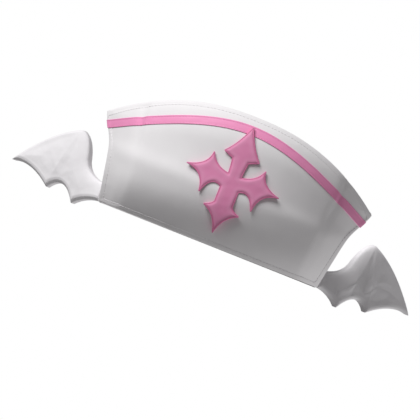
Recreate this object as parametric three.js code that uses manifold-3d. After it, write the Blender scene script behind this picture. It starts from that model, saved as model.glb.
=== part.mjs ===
// A costume nurse cap: a stiff white cuff that stands up in front, a soft white crown behind it,
// a pink ribbon stripe, a padded pink cross and two padded bat wings at the sides.
// Millimetres, +Z up. The cap faces -Y and its rim lies in the plane Z = 0, with the origin in the
// middle of the rim, where the head goes in.
import * as THREE from 'three';
import Module from 'manifold-3d';

const wasm = await Module();
wasm.setup();

// Driving sizes of the cuff, the stiff panel that is seen from the front.
const rimHalfWidth = 95.6;
const waistHalfWidth = 103.8;
const cornerHalfWidth = 116;
const waistHeight = 48.8;
const cornerHeight = 71.7;
const frontHeight = 111;
const topEdgeRoundness = 2.3;
const cuffThickness = 2.4;
const frontReach = 71;
const frontRadius = 152;
const foldHalfWidth = 81;
const foldSoftness = 3;
const foldSlopeAtRim = 1.17;
const foldSlopeAtCorner = 0.5;
const waistSoftness = 5;
const rimTuck = 27;
const rimTuckCurve = 2.3;
const topLean = 9;
const topLeanBand = 30;

// The soft crown behind the cuff.
const crownThickness = 1.6;
const crownHeight = 84;
const crownBackReach = 76;
const crownBoxiness = 3.2;
const crownBackSlope = 0.16;
const crownSeatShare = 0.15;

// The ribbon stripe along the top of the cuff.
const stripeWidth = 7.6;
const stripeThickness = 0.7;
const stripeDropAtFront = 12.6;
const stripeDropAtCorner = 10.7;
const stripeRoundness = 0.61;

// The padded cross.
const crossWidth = 78.9;
const crossHeight = 90.4;
const crossMiddleHeight = 56.2;
const crossEdgeThickness = 1.1;
const crossPadding = 1.2;
const crossPaddingReach = 4;
const crossBend = 0.6;

// The padded bat wings.
const wingSpan = 90.2;
const wingHeight = 58.8;
const wingDropBelowRim = 9.3;
const wingHalfThickness = 7;
const wingFullness = 9;
const wingRootReach = 9;
const fingerRidge = 1.3;
const fingerWidth = 6;
const wingFaceBluntness = 0.6;
const wingEdgeBluntness = 0.85;
const wingSweep = THREE.MathUtils.degToRad(34);
const wingSetBack = 7.2;

// Sewn pieces lie this far apart.
const sewingGap = 0.3;

// How finely the solids are faceted.
const cuffColumns = 52;
const cuffRows = 11;
const crownColumns = 48;
const crownRings = 10;
const stripeColumns = 60;
const stripeRows = 2;
const crossEdgeLength = 5;
const crossCurveSteps = 5;
const wingStations = 40;
const wingSectionSides = 20;
const slopeStep = 0.01;
const solverSteps = 30;
const closestStations = 0.4;

// Zero below 0 and a straight rise above it, with the corner rounded off over the given length.
const softRamp = (distance, softness) =>
  (distance + Math.sqrt(distance * distance + softness * softness)) / 2;

const clampShare = (share) => Math.min(1, Math.max(0, share));

// Half the width of the cuff at a height: narrow at the rim, flared above the waist.
function cuffHalfWidth(z) {
  const lowerSlope = (waistHalfWidth - rimHalfWidth) / waistHeight;
  const upperSlope = (cornerHalfWidth - waistHalfWidth) / (cornerHeight - waistHeight);
  const flare = softRamp(z - waistHeight, waistSoftness);
  return rimHalfWidth + lowerSlope * z + (upperSlope - lowerSlope) * flare;
}

// Height of the cuff's arched top edge.
function cuffTop(x) {
  const across = clampShare(Math.abs(x) / cornerHalfWidth);
  return cornerHeight + (frontHeight - cornerHeight) * (1 - across ** topEdgeRoundness);
}

// The cuff's outer face as a depth y over x and z: a wide arc in plan, folded back near each end,
// tucked in towards the rim and leaning back along the top edge.
function cuffDepth(x, z) {
  const side = Math.abs(x);
  const arc = frontRadius - Math.sqrt(Math.max(frontRadius ** 2 - side ** 2, 0));
  const foldShare = clampShare(z / cornerHeight);
  const foldSlope = foldSlopeAtRim + (foldSlopeAtCorner - foldSlopeAtRim) * foldShare;
  const fold = foldSlope * softRamp(side - foldHalfWidth, foldSoftness);
  const tuck = rimTuck * clampShare(1 - z / waistHeight) ** rimTuckCurve;
  const leanShare = clampShare(1 - (cuffTop(x) - z) / topLeanBand);
  const lean = topLean * leanShare ** 2 * (1 - clampShare(side / cornerHalfWidth) ** 2);
  return -frontReach + arc + fold + tuck + lean;
}

// A point at x and z on the cuff's outer face, moved outwards by a height above it.
function onCuff(x, z, height) {
  const slopeX = (cuffDepth(x + slopeStep, z) - cuffDepth(x - slopeStep, z)) / (2 * slopeStep);
  const slopeZ = (cuffDepth(x, z + slopeStep) - cuffDepth(x, z - slopeStep)) / (2 * slopeStep);
  const outward = new THREE.Vector3(slopeX, -1, slopeZ).normalize();
  return new THREE.Vector3(x, cuffDepth(x, z), z).addScaledVector(outward, height);
}

// A closed geometry from a list of points and a list of quads and triangles.
function solidGeometry(points, faces) {
  const geometry = new THREE.BufferGeometry();
  geometry.setAttribute('position', new THREE.Float32BufferAttribute(points.flatMap((p) => p.toArray()), 3));
  geometry.setIndex(faces.flatMap((f) => (f.length === 3 ? f : [f[0], f[1], f[2], f[0], f[2], f[3]])));
  return geometry;
}

// A wall between two grids of points of one size, closed along its four edges.
// Seen from outside, columns run to the right and rows run up.
function wallGeometry(outside, inside) {
  const columns = outside.length;
  const rows = outside[0].length;
  const points = [...outside.flat(), ...inside.flat()];
  const out = (i, j) => i * rows + j;
  const inn = (i, j) => columns * rows + i * rows + j;
  const faces = [];
  for (let i = 0; i + 1 < columns; i++) {
    for (let j = 0; j + 1 < rows; j++) {
      faces.push([out(i, j), out(i + 1, j), out(i + 1, j + 1), out(i, j + 1)]);
      faces.push([inn(i, j), inn(i, j + 1), inn(i + 1, j + 1), inn(i + 1, j)]);
    }
    faces.push([out(i, 0), inn(i, 0), inn(i + 1, 0), out(i + 1, 0)]);
    faces.push([out(i, rows - 1), out(i + 1, rows - 1), inn(i + 1, rows - 1), inn(i, rows - 1)]);
  }
  for (let j = 0; j + 1 < rows; j++) {
    const last = columns - 1;
    faces.push([out(0, j), out(0, j + 1), inn(0, j + 1), inn(0, j)]);
    faces.push([out(last, j), inn(last, j), inn(last, j + 1), out(last, j + 1)]);
  }
  return solidGeometry(points, faces);
}

// A grid of points over shares -1 to 1 across and 0 to 1 up.
function gridOf(columns, rows, pointAt) {
  return Array.from({ length: columns + 1 }, (_, i) =>
    Array.from({ length: rows + 1 }, (_, j) => pointAt((2 * i) / columns - 1, j / rows)));
}

// The cuff, grown on every side by a margin.
function cuffGeometry(margin) {
  const pointAt = (height) => (across, up) => {
    const z = up * (cuffTop(across * cornerHalfWidth) + 2 * margin) - margin;
    const x = across * (cuffHalfWidth(up * cornerHeight) + margin);
    return onCuff(x, z, height);
  };
  return wallGeometry(
    gridOf(cuffColumns, cuffRows, pointAt(margin)),
    gridOf(cuffColumns, cuffRows, pointAt(-cuffThickness - margin)),
  );
}

const crownSeat = (x) => onCuff(x, 0, -cuffThickness - sewingGap);

// The crown's closed outline in plan: two half ellipses that meet at the ends of the cuff. It runs
// anticlockwise from the right end.
function crownPlan() {
  const end = crownSeat(rimHalfWidth);
  const front = crownSeat(0);
  return Array.from({ length: crownColumns }, (_, k) => {
    const turn = (2 * Math.PI * k) / crownColumns;
    const reach = Math.sin(turn) < 0 ? end.y - front.y : crownBackReach - end.y;
    return new THREE.Vector2(end.x * Math.cos(turn), end.y + reach * Math.sin(turn));
  });
}

// The same outline at the rim, where its front half follows the inside of the cuff.
function crownRim() {
  const half = crownColumns / 2;
  return crownPlan().map((p, k) => {
    const seat = crownSeat(rimHalfWidth * Math.cos((Math.PI * k) / half));
    return k <= half ? p : new THREE.Vector2(seat.x, seat.y);
  });
}

// The crown's outer face as rings from the rim to just short of the peak, moved out by a margin.
function crownRingsOutside(margin) {
  const rim = crownRim();
  const plan = crownPlan();
  const middleY = plan.reduce((sum, p) => sum + p.y, 0) / plan.length;
  const ring = (up) => {
    const turn = (up * Math.PI) / 2;
    const inward = Math.cos(turn) ** (2 / crownBoxiness);
    const rise = Math.sin(turn) ** (2 / crownBoxiness);
    return rim.map((seat, k) => {
      const p = seat.clone().lerp(plan[k], clampShare(up / crownSeatShare));
      const x = p.x * inward;
      const y = middleY + (p.y - middleY) * inward;
      const slope = 1 - (crownBackSlope * (y - middleY)) / crownBackReach;
      return new THREE.Vector3(x, y, crownHeight * rise * slope);
    });
  };
  const rings = Array.from({ length: crownRings }, (_, j) => ring(j / crownRings));
  const peak = new THREE.Vector3(0, middleY, crownHeight);
  return offsetDome(rings, peak, margin);
}

// A dome of rings and a peak, moved outwards along its own normals.
function offsetDome(rings, peak, distance) {
  const sides = rings[0].length;
  const at = (j, k) => (j < rings.length ? rings[j][(k + sides) % sides] : peak);
  const moved = rings.map((ring, j) => ring.map((p, k) => {
    const around = at(j, k + 1).clone().sub(at(j, k - 1));
    const up = at(j + 1, k).clone().sub(at(Math.max(j - 1, 0), k));
    const outward = around.cross(up).normalize();
    if (j === 0) outward.setZ(0).normalize();
    return p.clone().addScaledVector(outward, distance);
  }));
  return { rings: moved, peak: peak.clone().add(new THREE.Vector3(0, 0, distance)) };
}

// Faces of a dome whose points start at an index, seen from outside, or turned inside out.
function domeFaces(ringCount, sides, start, insideOut) {
  const faces = [];
  const peak = start + ringCount * sides;
  for (let j = 0; j < ringCount; j++) {
    for (let k = 0; k < sides; k++) {
      const next = (k + 1) % sides;
      const low = start + j * sides;
      const high = low + sides;
      const above = j + 1 < ringCount ? [high + next, high + k] : [peak];
      faces.push([low + k, low + next, ...above]);
    }
  }
  return insideOut ? faces.map((f) => [...f].reverse()) : faces;
}

// The crown as a hollow dome, open at the rim.
function crownGeometry() {
  const outside = crownRingsOutside(0);
  const inside = offsetDome(outside.rings, outside.peak, -crownThickness);
  const sides = crownColumns;
  const points = [...outside.rings.flat(), outside.peak, ...inside.rings.flat(), inside.peak];
  const insideStart = crownRings * sides + 1;
  const faces = [
    ...domeFaces(crownRings, sides, 0, false),
    ...domeFaces(crownRings, sides, insideStart, true),
  ];
  for (let k = 0; k < sides; k++) {
    const next = (k + 1) % sides;
    faces.push([next, k, insideStart + k, insideStart + next]);
  }
  return solidGeometry(points, faces);
}

// The crown's outer shape as a filled solid with a margin, to cut the wing roots with.
function filledCrownGeometry(margin) {
  const { rings, peak } = crownRingsOutside(margin);
  const floor = rings[0].map((p) => p.clone().setZ(-wingHeight));
  const stack = [floor, ...rings];
  const points = [...stack.flat(), peak, new THREE.Vector3(0, 0, -wingHeight)];
  const faces = domeFaces(stack.length, crownColumns, 0, false);
  for (let k = 0; k < crownColumns; k++) faces.push([(k + 1) % crownColumns, k, points.length - 1]);
  return solidGeometry(points, faces);
}

// Height of the stripe's middle line: high in the middle and falling straight towards the corners.
function stripeHeight(x) {
  const endHeight = cornerHeight - stripeDropAtCorner;
  const reach = cuffHalfWidth(endHeight);
  const bend = (share) => Math.sqrt(share * share + stripeRoundness * stripeRoundness) - stripeRoundness;
  const fall = frontHeight - stripeDropAtFront - endHeight;
  return endHeight + fall * (1 - bend(x / reach) / bend(1));
}

// A point on the stripe: a share across the cuff, a share of the ribbon's width, and a height
// above the cuff. The cuff's width depends on the height there, so the place is found by steps.
function stripePoint(across, widthShare, height, margin) {
  const lift = widthShare * (stripeWidth + 2 * margin);
  let x = 0;
  for (let step = 0; step < solverSteps; step++) {
    x = across * (cuffHalfWidth(stripeHeight(x) + lift) + margin);
  }
  return onCuff(x, stripeHeight(x) + lift, height);
}

function stripeGeometry(bottom, top, margin) {
  const pointAt = (height) => (across, up) => stripePoint(across, up - 0.5, height, margin);
  const face = (height) => gridOf(stripeColumns, stripeRows, pointAt(height));
  return wallGeometry(face(top), face(bottom));
}

// The right half of the cross's outline, from its top point down to its foot, as shares of half
// its width and half its height. A row with a pull bends towards that point on its way.
const crossOutline = [
  { name: 'head barb', across: 0.375, up: 0.439, pullAcross: 0.132, pullUp: 0.673 },
  { name: 'neck', across: 0.172, up: 0.368 },
  { name: 'upper armpit', across: 0.138, up: 0.08, pullAcross: 0.142, pullUp: 0.221 },
  { name: 'upper arm barb', across: 0.56, up: 0.35, pullAcross: 0.462, pullUp: 0.122 },
  { name: 'arm tip', across: 1, up: -0.009, pullAcross: 0.58, pullUp: 0.071 },
  { name: 'lower arm barb', across: 0.564, up: -0.407, pullAcross: 0.598, pullUp: -0.035 },
  { name: 'lower armpit', across: 0.193, up: -0.177, pullAcross: 0.434, pullUp: -0.055 },
  { name: 'ankle', across: 0.189, up: -0.46 },
  { name: 'foot barb', across: 0.381, up: -0.575, pullAcross: 0.223, pullUp: -0.531 },
  { name: 'foot', across: 0, up: -1, pullAcross: 0.073, pullUp: -0.681 },
];

// The cross's whole outline in millimetres, anticlockwise from its top point.
function crossOutlinePoints() {
  const half = new THREE.Path().moveTo(0, 1);
  for (const row of crossOutline) {
    if (row.pullAcross === undefined) half.lineTo(row.across, row.up);
    else half.quadraticCurveTo(row.pullAcross, row.pullUp, row.across, row.up);
  }
  const right = half.getPoints(crossCurveSteps);
  const left = right.slice(1, -1).map((p) => new THREE.Vector2(-p.x, p.y));
  const size = new THREE.Vector2(crossWidth / 2, crossHeight / 2);
  return [...left, ...right.reverse()].map((p) => p.multiply(size));
}

const planeLine = (p, q) => new THREE.Line3(new THREE.Vector3(p.x, p.y, 0), new THREE.Vector3(q.x, q.y, 0));

// Distance from a point in a plane to the nearest of some straight lines.
function distanceToLines(lines, x, y) {
  const point = new THREE.Vector3(x, y, 0);
  const near = new THREE.Vector3();
  return Math.min(...lines.map((line) => line.closestPointToPoint(point, true, near).distanceTo(point)));
}

// Halves the longest edge of a closed mesh, with the faces beside it, until all are short.
function splitLongEdges(points, triangles, longest) {
  const length = ([a, b]) => points[a].distanceTo(points[b]);
  let faces = triangles;
  for (;;) {
    const edges = faces.flatMap(([a, b, c]) => [[a, b], [b, c], [c, a]]);
    const [a, b] = edges.reduce((far, edge) => (length(edge) > length(far) ? edge : far));
    if (length([a, b]) <= longest) return faces;
    const middle = points.push(points[a].clone().lerp(points[b], 0.5)) - 1;
    faces = faces.flatMap((face) => {
      if (!face.includes(a) || !face.includes(b)) return [face];
      return [face.map((i) => (i === a ? middle : i)), face.map((i) => (i === b ? middle : i))];
    });
  }
}

// The depth of the cross's front edge: its padding fills up part of the cuff's curve, so its front
// bends with only a share of that curve.
function crossEdgeDepth(x, z) {
  const middle = cuffDepth(0, crossMiddleHeight);
  return middle - sewingGap - crossEdgeThickness + crossBend * (cuffDepth(x, z) - middle);
}

// The cross as a padded plate: its back lies on the cuff, and its front swells in from the outline.
function crossGeometry() {
  const outline = crossOutlinePoints();
  const count = outline.length;
  const points = [0, 1].flatMap((level) => outline.map((p) => new THREE.Vector3(p.x, p.y, level)));
  const flat = THREE.ShapeUtils.triangulateShape(outline, []);
  const rim = outline.flatMap((_, i) => {
    const next = (i + 1) % count;
    return [[i, next, next + count], [i, next + count, i + count]];
  });
  const front = flat.map((face) => face.map((i) => i + count));
  const back = flat.map((face) => [...face].reverse());
  const faces = splitLongEdges(points, [...front, ...back, ...rim], crossEdgeLength);
  const border = outline.map((p, i) => planeLine(p, outline[(i + 1) % count]));
  const bent = points.map((p) => {
    const inwards = clampShare(distanceToLines(border, p.x, p.y) / crossPaddingReach);
    const swell = crossPadding * Math.sqrt(1 - (1 - inwards) ** 2);
    const z = crossMiddleHeight + p.y;
    const back = cuffDepth(p.x, z) - sewingGap;
    const front = crossEdgeDepth(p.x, z) - swell;
    return new THREE.Vector3(p.x, back + (front - back) * p.z, z);
  });
  return solidGeometry(bent, faces);
}

// The wing's edges from root to tip in its own plane, as shares of its span and of its height.
// Each row is a curve that bends towards its pull and ends at its point.
const wingTopEdge = [
  { name: 'root', along: 0, up: 0.425 },
  { name: 'arm', along: 0.228, up: 0.635, pullAlong: 0.18, pullUp: 0.46 },
  { name: 'wrist', along: 0.4, up: 1, pullAlong: 0.29, pullUp: 0.96 },
  { name: 'tip', along: 1, up: 0.269, pullAlong: 0.71, pullUp: 0.84 },
];
const wingLowEdge = [
  { name: 'root', along: 0, up: 0.166 },
  { name: 'inner point', along: 0.227, up: 0, pullAlong: 0.13, pullUp: 0.13 },
  { name: 'outer point', along: 0.54, up: 0.083, pullAlong: 0.39, pullUp: 0.36 },
  { name: 'tip', along: 1, up: 0.259, pullAlong: 0.8, pullUp: 0.36 },
];

// Height of a wing edge at a share of the span, in shares of the wing's height.
function wingEdgeHeight(edge, along) {
  if (along <= 0) return edge[0].up;
  const end = edge.findIndex((row) => row.along >= along);
  const from = edge[end - 1];
  const to = edge[end];
  const curve = new THREE.QuadraticBezierCurve(
    new THREE.Vector2(from.along, from.up),
    new THREE.Vector2(to.pullAlong, to.pullUp),
    new THREE.Vector2(to.along, to.up),
  );
  let [low, high] = [0, 1];
  for (let step = 0; step < solverSteps; step++) {
    const middle = (low + high) / 2;
    if (curve.getPoint(middle).x < along) low = middle;
    else high = middle;
  }
  return curve.getPoint((low + high) / 2).y;
}

// The shares of the span where a wing has a section: even steps, and the points of its low edge.
function wingStationShares() {
  const rootShare = -wingRootReach / wingSpan;
  const shareAt = (i) => rootShare + (i / wingStations) * (1 - rootShare);
  const even = Array.from({ length: wingStations + 1 }, (_, i) => shareAt(i));
  const points = wingLowEdge.slice(1, -1).map((row) => row.along);
  const closest = closestStations / wingStations;
  const kept = even.filter((share) => points.every((p) => Math.abs(p - share) > closest));
  return [...kept, ...points].sort((a, b) => a - b);
}

// The padded fingers of a wing: lines that fan out from its wrist to its low points.
function wingFingers() {
  const wrist = wingTopEdge.find((row) => row.name === 'wrist');
  const onWing = (row) => new THREE.Vector2(row.along * wingSpan, row.up * wingHeight);
  return wingLowEdge.slice(1, -1).map((row) => planeLine(onWing(wrist), onWing(row)));
}

// The right wing: padded sections lofted from its root to its tip, swept back from the cap.
function wingGeometry() {
  const along = new THREE.Vector3(Math.cos(wingSweep), Math.sin(wingSweep), 0);
  const front = new THREE.Vector3(Math.sin(wingSweep), -Math.cos(wingSweep), 0);
  const root = new THREE.Vector3(rimHalfWidth, onCuff(rimHalfWidth, 0, 0).y + wingSetBack, -wingDropBelowRim);
  const fingers = wingFingers();
  const sections = wingStationShares().map((share) => {
    const low = wingEdgeHeight(wingLowEdge, share) * wingHeight;
    const high = wingEdgeHeight(wingTopEdge, share) * wingHeight;
    const tall = (high - low) / 2;
    const thick = (wingHalfThickness * 2 * tall) / (2 * tall + wingFullness);
    const middle = root.clone().addScaledVector(along, share * wingSpan);
    return Array.from({ length: wingSectionSides }, (_, k) => {
      const turn = (-2 * Math.PI * k) / wingSectionSides;
      const [c, s] = [Math.cos(turn), Math.sin(turn)];
      const up = (low + high) / 2 + Math.sign(s) * Math.abs(s) ** wingEdgeBluntness * tall;
      const away = distanceToLines(fingers, share * wingSpan, up);
      const ridge = fingerRidge * Math.exp(-((away / fingerWidth) ** 2));
      const out = Math.sign(c) * Math.abs(c) ** wingFaceBluntness * (thick + ridge);
      return middle.clone().addScaledVector(front, out).add(new THREE.Vector3(0, 0, up));
    });
  });
  return loftGeometry(sections);
}

// A closed loft through sections that run anticlockwise seen from its far end.
function loftGeometry(sections) {
  const sides = sections[0].length;
  const centre = (ring) => ring.reduce((sum, p) => sum.add(p), new THREE.Vector3()).divideScalar(ring.length);
  const points = [...sections.flat(), centre(sections[0]), centre(sections.at(-1))];
  const last = (sections.length - 1) * sides;
  const faces = [];
  for (let k = 0; k < sides; k++) {
    const next = (k + 1) % sides;
    for (let i = 0; i + 1 < sections.length; i++) {
      const [a, b] = [i * sides, (i + 1) * sides];
      faces.push([a + k, a + next, b + next, b + k]);
    }
    faces.push([next, k, points.length - 2]);
    faces.push([last + k, last + next, points.length - 1]);
  }
  return solidGeometry(points, faces);
}

// A geometry as a solid that can be cut.
function solidOf(geometry) {
  const vertProperties = geometry.getAttribute('position').array;
  const triVerts = new Uint32Array(geometry.index.array);
  return new wasm.Manifold(new wasm.Mesh({ numProp: 3, vertProperties, triVerts }));
}

// A cut solid as a geometry again.
function geometryOf(solid) {
  const mesh = solid.getMesh();
  const geometry = new THREE.BufferGeometry();
  geometry.setAttribute('position', new THREE.BufferAttribute(new Float32Array(mesh.vertProperties), 3));
  geometry.setIndex(new THREE.BufferAttribute(new Uint32Array(mesh.triVerts), 1));
  return geometry;
}

function mirrored(geometry) {
  const copy = geometry.clone().applyMatrix4(new THREE.Matrix4().makeScale(-1, 1, 1));
  const index = Array.from(copy.index.array);
  for (let i = 0; i < index.length; i += 3) [index[i + 1], index[i + 2]] = [index[i + 2], index[i + 1]];
  return copy.setIndex(index);
}

const whiteCloth = new THREE.MeshStandardMaterial({ name: 'white_cloth', color: 0xf4f1f3, roughness: 0.8 });
const pinkRibbon = new THREE.MeshStandardMaterial({ name: 'pink_ribbon', color: 0xf296c3, roughness: 0.5 });
const pinkSatin = new THREE.MeshStandardMaterial({ name: 'pink_satin', color: 0xd8749f, roughness: 0.45 });
const whitePlush = new THREE.MeshStandardMaterial({ name: 'white_wing', color: 0xf6f3f5, roughness: 0.6 });

function piece(name, geometry, material) {
  const mesh = new THREE.Mesh(geometry, material);
  mesh.name = name;
  return mesh;
}

function nurseCap() {
  const cap = new THREE.Group();
  cap.add(piece('cuff', cuffGeometry(0), whiteCloth));
  cap.add(piece('crown', crownGeometry(), whiteCloth));
  cap.add(piece('stripe', stripeGeometry(sewingGap, sewingGap + stripeThickness, 0), pinkRibbon));

  const stripeRoom = solidOf(stripeGeometry(-sewingGap, 2 * sewingGap + stripeThickness, sewingGap));
  cap.add(piece('cross', geometryOf(solidOf(crossGeometry()).subtract(stripeRoom)), pinkSatin));

  const capRoom = solidOf(filledCrownGeometry(sewingGap)).add(solidOf(cuffGeometry(sewingGap)));
  const wing = wingGeometry();
  cap.add(piece('wing_right', geometryOf(solidOf(wing).subtract(capRoom)), whitePlush));
  cap.add(piece('wing_left', geometryOf(solidOf(mirrored(wing)).subtract(capRoom)), whitePlush));
  return cap;
}

export default nurseCap();
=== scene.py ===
# %% [markdown]
# # A costume nurse cap with bat wings
#
# The cap is sewn from white cotton twill. A stiff cuff stands up in front, a soft crown holds
# the head behind it, and three trims are sewn on: a satin ribbon along the top, a padded satin
# cross in the middle and a stuffed bat wing at each side.
#
# Lengths are written in millimetres and turned into metres where a mesh, a cloth or the camera
# is made. The cap faces -Y, its rim lies in the plane Z = 0, and the origin is in the middle of
# the rim.

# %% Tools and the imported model
import math

import bmesh
import bpy
import numpy as np
from mathutils import Matrix, Vector, noise


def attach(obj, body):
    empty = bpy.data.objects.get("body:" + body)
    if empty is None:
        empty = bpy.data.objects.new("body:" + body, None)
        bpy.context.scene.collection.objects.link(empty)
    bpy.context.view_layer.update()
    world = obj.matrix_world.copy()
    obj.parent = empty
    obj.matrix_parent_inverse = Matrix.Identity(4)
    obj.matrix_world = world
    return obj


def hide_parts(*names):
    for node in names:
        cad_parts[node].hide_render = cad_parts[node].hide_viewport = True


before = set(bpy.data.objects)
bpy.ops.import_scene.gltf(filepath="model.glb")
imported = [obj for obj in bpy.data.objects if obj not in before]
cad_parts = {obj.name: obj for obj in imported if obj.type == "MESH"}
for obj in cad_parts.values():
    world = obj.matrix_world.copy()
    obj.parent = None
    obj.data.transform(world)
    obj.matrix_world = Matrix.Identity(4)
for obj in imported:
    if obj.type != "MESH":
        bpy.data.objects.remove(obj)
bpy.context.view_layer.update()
MM = 0.001
print("nodes:", sorted(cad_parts))

# %% [markdown]
# ## The sizes of the cap
#
# The cuff is a height field seen from the front: how far back its face lies at each place
# across and up. Everything that is sewn to it asks the same function where the face is, so the
# ribbon and the cross follow it by themselves.

# %% Sizes
RIM_HALF_WIDTH = 95.6
WAIST_HALF_WIDTH = 103.8
CORNER_HALF_WIDTH = 116
WAIST_HEIGHT = 48.8
CORNER_HEIGHT = 71.7
FRONT_HEIGHT = 111
TOP_EDGE_ROUNDNESS = 2.3
CUFF_THICKNESS = 2.4
FRONT_REACH = 71
FRONT_RADIUS = 152
FOLD_HALF_WIDTH = 81
FOLD_SOFTNESS = 3
FOLD_SLOPE_AT_RIM = 1.17
FOLD_SLOPE_AT_CORNER = 0.5
WAIST_SOFTNESS = 5
RIM_TUCK = 27
RIM_TUCK_CURVE = 2.3
TOP_LEAN = 9
TOP_LEAN_BAND = 30
SEWING_GAP = 0.3


# %% The cuff's front view and its face
def soft_ramp(distance, softness):
    """Zero below 0 and a straight rise above it, with a rounded corner."""
    return (distance + np.sqrt(distance**2 + softness**2)) / 2


def cuff_half_width(z):
    """Half the cuff's width at a height: it widens faster above the waist."""
    lower = (WAIST_HALF_WIDTH - RIM_HALF_WIDTH) / WAIST_HEIGHT
    upper = (CORNER_HALF_WIDTH - WAIST_HALF_WIDTH) / (CORNER_HEIGHT - WAIST_HEIGHT)
    flare = soft_ramp(z - WAIST_HEIGHT, WAIST_SOFTNESS)
    return RIM_HALF_WIDTH + lower * z + (upper - lower) * flare


def cuff_top(x):
    """Height of the cuff's arched top edge at a place across."""
    across = np.clip(np.abs(x) / CORNER_HALF_WIDTH, 0, 1)
    return CORNER_HEIGHT + (FRONT_HEIGHT - CORNER_HEIGHT) * (1 - across**TOP_EDGE_ROUNDNESS)


def cuff_depth(x, z):
    """How far back the cuff's face lies: an arc in plan, folded at the ends, tucked in below."""
    side = np.abs(x)
    arc = FRONT_RADIUS - np.sqrt(np.maximum(FRONT_RADIUS**2 - side**2, 0))
    share = np.clip(z / CORNER_HEIGHT, 0, 1)
    slope = FOLD_SLOPE_AT_RIM + (FOLD_SLOPE_AT_CORNER - FOLD_SLOPE_AT_RIM) * share
    fold = slope * soft_ramp(side - FOLD_HALF_WIDTH, FOLD_SOFTNESS)
    tuck = RIM_TUCK * np.clip(1 - z / WAIST_HEIGHT, 0, 1) ** RIM_TUCK_CURVE
    lean_share = np.clip(1 - (cuff_top(x) - z) / TOP_LEAN_BAND, 0, 1)
    lean = TOP_LEAN * lean_share**2 * (1 - np.clip(side / CORNER_HALF_WIDTH, 0, 1) ** 2)
    return -FRONT_REACH + arc + fold + tuck + lean


def cuff_outward(x, z, step=0.05):
    """The way straight out of the cuff's face."""
    slope_x = (cuff_depth(x + step, z) - cuff_depth(x - step, z)) / (2 * step)
    slope_z = (cuff_depth(x, z + step) - cuff_depth(x, z - step)) / (2 * step)
    outward = np.stack([slope_x, -np.ones_like(slope_x), slope_z], -1)
    return outward / np.linalg.norm(outward, axis=-1, keepdims=True)


def on_cuff(x, z, height=0):
    """Points at x and z on the cuff's face, moved outwards by a height above it."""
    x, z = np.broadcast_arrays(np.asarray(x, float), np.asarray(z, float))
    face = np.stack([x, cuff_depth(x, z), z], -1)
    return face + cuff_outward(x, z) * np.asarray(height, float)[..., None]


cuff_front, cuff_corner = on_cuff([0, CORNER_HALF_WIDTH], [WAIST_HEIGHT, CORNER_HEIGHT]).round(2)
print("front of the cuff:", cuff_front, "corner:", cuff_corner)

# %% [markdown]
# ## Small tools for making meshes
#
# A sewn panel is a sheet with a front, a back and a rounded edge, so one function turns two
# grids of points into a closed shell. Others space points evenly along a seam and lay a row of
# stitches on it. Folds, hems and puckers are sums of a few small curves of the distance from an
# edge or a line, and soft lumps come from a smooth noise.


# %% A piece from points, and a closed panel
def make_piece(name, points, faces, uv=None):
    """A smooth mesh object from points in millimetres, with a cloth map in metres."""
    mesh = bpy.data.meshes.new(name)
    mesh.from_pydata((np.asarray(points, float) * MM).tolist(), [], faces)
    if uv is not None:
        corners = np.empty(len(mesh.loops), int)
        mesh.loops.foreach_get("vertex_index", corners)
        cloth_map = mesh.uv_layers.new(name="cloth")
        cloth_map.data.foreach_set("uv", (np.asarray(uv, float)[corners] * MM).ravel())
    tidy = bmesh.new()
    tidy.from_mesh(mesh)
    bmesh.ops.recalc_face_normals(tidy, faces=tidy.faces)
    tidy.to_mesh(mesh)
    tidy.free()
    mesh.shade_smooth()
    piece = bpy.data.objects.new(name, mesh)
    bpy.context.scene.collection.objects.link(piece)
    return piece


def closed_shell(name, front, back, uv, edge_steps=6):
    """A panel between two grids of points, with a half-round edge all the way round."""
    columns, rows = front.shape[:2]
    at = np.arange(columns * rows).reshape(columns, rows)
    quads = np.stack([at[:-1, :-1], at[1:, :-1], at[1:, 1:], at[:-1, 1:]], -1).reshape(-1, 4)
    back_quads = (quads + columns * rows)[:, ::-1]
    border = [(i, 0) for i in range(columns - 1)]
    border += [(columns - 1, j) for j in range(rows - 1)]
    border += [(i, rows - 1) for i in range(columns - 1, 0, -1)]
    border += [(0, j) for j in range(rows - 1, 0, -1)]
    i, j = np.array(border).T
    inner_i, inner_j = np.clip(i, 1, columns - 2), np.clip(j, 1, rows - 2)
    middle = (front[i, j] + back[i, j]) / 2
    half = (front[i, j] - back[i, j]) / 2
    away = middle - (front[inner_i, inner_j] + back[inner_i, inner_j]) / 2
    away -= half * (away * half).sum(-1, keepdims=True) / (half**2).sum(-1, keepdims=True)
    away *= np.linalg.norm(half, axis=-1, keepdims=True) / np.linalg.norm(away, axis=-1, keepdims=True)
    turns = np.arange(1, edge_steps) * math.pi / edge_steps
    edge = [middle + half * math.cos(t) + away * math.sin(t) for t in turns]
    points = np.vstack([front.reshape(-1, 3), back.reshape(-1, 3), *edge])
    first = 2 * columns * rows
    loops = [at[i, j], *(first + k * len(border) + np.arange(len(border)) for k in range(edge_steps - 1))]
    loops.append(at[i, j] + columns * rows)
    edge_quads = [
        np.stack([low, high, np.roll(high, -1), np.roll(low, -1)], -1)
        for low, high in zip(loops, loops[1:])
    ]
    faces = np.vstack([quads, back_quads, *edge_quads]).tolist()
    cloth = np.vstack([uv.reshape(-1, 2), uv.reshape(-1, 2), *([uv[i, j]] * (edge_steps - 1))])
    return make_piece(name, points, faces, cloth)


# %% Rows of stitches
STITCH_SHARE = 0.8
STITCH_SIDES = 6
HALF_STITCH = [
    {"along": 0.15, "width": 1, "lift": 0.6},
    {"along": 0.38, "width": 0.8, "lift": 0.35},
    {"along": 0.5, "width": 0.12, "lift": -0.4},
]


def full_turn(count):
    """Angles spaced evenly round a circle."""
    return 2 * math.pi * np.arange(count) / count


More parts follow.
